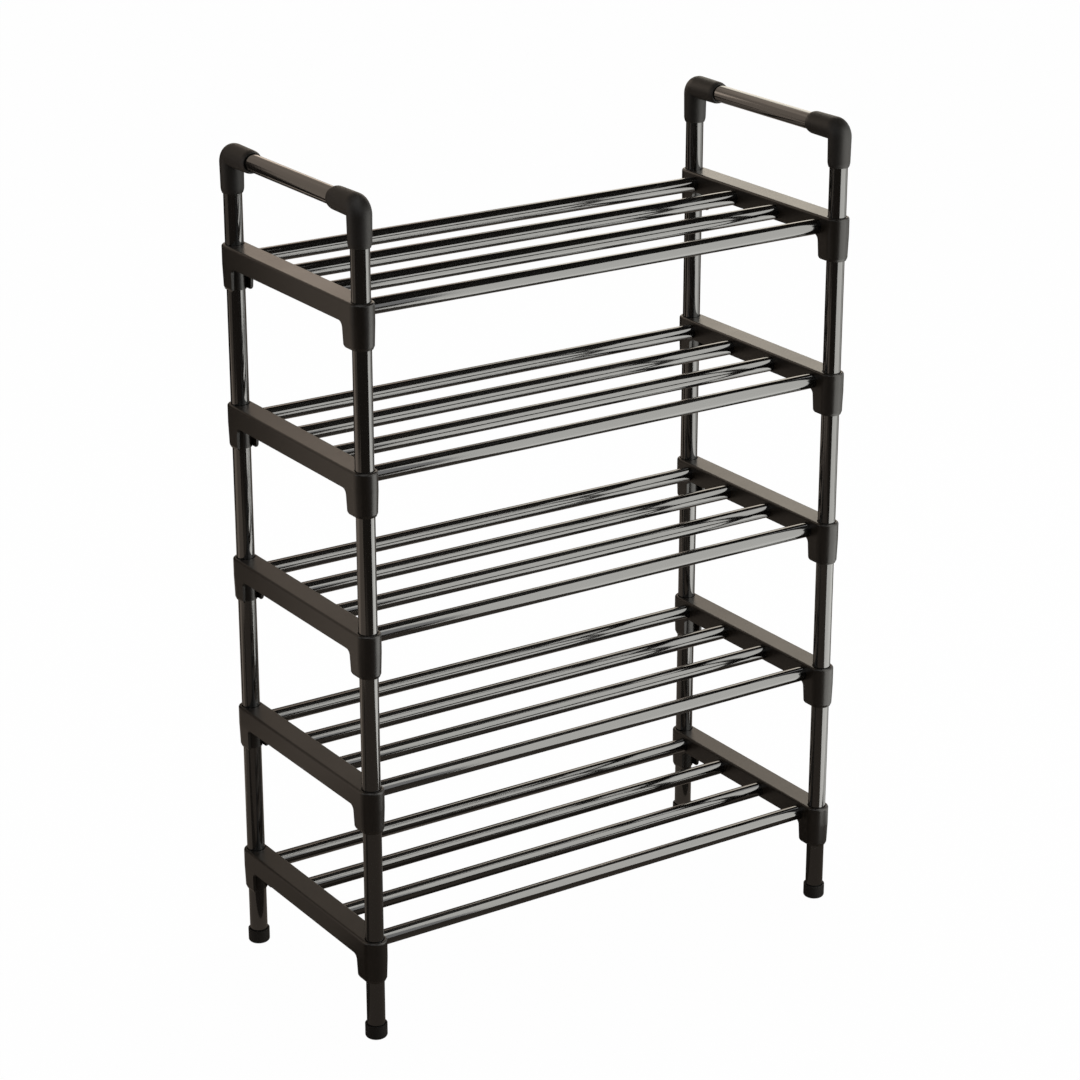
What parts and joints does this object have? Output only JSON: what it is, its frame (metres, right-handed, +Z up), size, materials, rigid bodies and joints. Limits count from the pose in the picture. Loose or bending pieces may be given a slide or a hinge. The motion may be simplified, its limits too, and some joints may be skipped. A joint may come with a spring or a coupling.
{
  "type": "stackable shoe rack",
  "caption": "Stackable shoe rack: steel rods between moulded end brackets on push-in tube posts, a U-handle on each end, rubber-capped feet; tiers lift apart.",
  "frame": {"origin": "on the floor, midway between the four feet", "axes": "+X to the right along the rods, +Y to the back, +Z up"},
  "size_m": [0.593, 0.275, 0.8824],
  "materials": {
    "black_coated_steel": "gloss black coating",
    "moulded_plastic": "satin, fine grain",
    "foot_rubber": "matt black"
  },
  "bodies": {
    "base": {"tier_1_left_bracket": "moulded_plastic", "tier_1_right_bracket": "moulded_plastic", "tier_1_rod_1": "black_coated_steel", "tier_1_rod_2": "black_coated_steel", "tier_1_rod_3": "black_coated_steel", "tier_1_rod_4": "black_coated_steel", "post_1_front_left": "black_coated_steel", "post_1_front_right": "black_coated_steel", "post_1_back_left": "black_coated_steel", "post_1_back_right": "black_coated_steel", "left_foot_tubes": "black_coated_steel", "left_foot_caps": "foot_rubber", "right_foot_tubes": "black_coated_steel", "right_foot_caps": "foot_rubber"},
    "tier_2": {"tier_2_left_bracket": "moulded_plastic", "tier_2_right_bracket": "moulded_plastic", "tier_2_rod_1": "black_coated_steel", "tier_2_rod_2": "black_coated_steel", "tier_2_rod_3": "black_coated_steel", "tier_2_rod_4": "black_coated_steel", "post_2_front_left": "black_coated_steel", "post_2_front_right": "black_coated_steel", "post_2_back_left": "black_coated_steel", "post_2_back_right": "black_coated_steel"},
    "tier_3": {"tier_3_left_bracket": "moulded_plastic", "tier_3_right_bracket": "moulded_plastic", "tier_3_rod_1": "black_coated_steel", "tier_3_rod_2": "black_coated_steel", "tier_3_rod_3": "black_coated_steel", "tier_3_rod_4": "black_coated_steel", "post_3_front_left": "black_coated_steel", "post_3_front_right": "black_coated_steel", "post_3_back_left": "black_coated_steel", "post_3_back_right": "black_coated_steel"},
    "tier_4": {"tier_4_left_bracket": "moulded_plastic", "tier_4_right_bracket": "moulded_plastic", "tier_4_rod_1": "black_coated_steel", "tier_4_rod_2": "black_coated_steel", "tier_4_rod_3": "black_coated_steel", "tier_4_rod_4": "black_coated_steel", "post_4_front_left": "black_coated_steel", "post_4_front_right": "black_coated_steel", "post_4_back_left": "black_coated_steel", "post_4_back_right": "black_coated_steel"},
    "tier_5": {"tier_5_left_bracket": "moulded_plastic", "tier_5_right_bracket": "moulded_plastic", "tier_5_rod_1": "black_coated_steel", "tier_5_rod_2": "black_coated_steel", "tier_5_rod_3": "black_coated_steel", "tier_5_rod_4": "black_coated_steel"},
    "left_handle": {"left_handle_bar": "black_coated_steel", "left_handle_front_post": "black_coated_steel", "left_handle_front_elbow": "moulded_plastic", "left_handle_back_post": "black_coated_steel", "left_handle_back_elbow": "moulded_plastic"},
    "right_handle": {"right_handle_bar": "black_coated_steel", "right_handle_front_post": "black_coated_steel", "right_handle_front_elbow": "moulded_plastic", "right_handle_back_post": "black_coated_steel", "right_handle_back_elbow": "moulded_plastic"}
  },
  "joints": [
    {"name": "tier_2_lift", "type": "slide", "parent": "base", "child": "tier_2", "axis": [0, 0, 1], "range_m": [0, 0.05]},
    {"name": "tier_3_lift", "type": "slide", "parent": "tier_2", "child": "tier_3", "axis": [0, 0, 1], "range_m": [0, 0.05]},
    {"name": "tier_4_lift", "type": "slide", "parent": "tier_3", "child": "tier_4", "axis": [0, 0, 1], "range_m": [0, 0.05]},
    {"name": "tier_5_lift", "type": "slide", "parent": "tier_4", "child": "tier_5", "axis": [0, 0, 1], "range_m": [0, 0.05]},
    {"name": "left_handle_lift", "type": "slide", "parent": "tier_5", "child": "left_handle", "axis": [0, 0, 1], "range_m": [0, 0.05]},
    {"name": "right_handle_lift", "type": "slide", "parent": "tier_5", "child": "right_handle", "axis": [0, 0, 1], "range_m": [0, 0.05]}
  ]
}
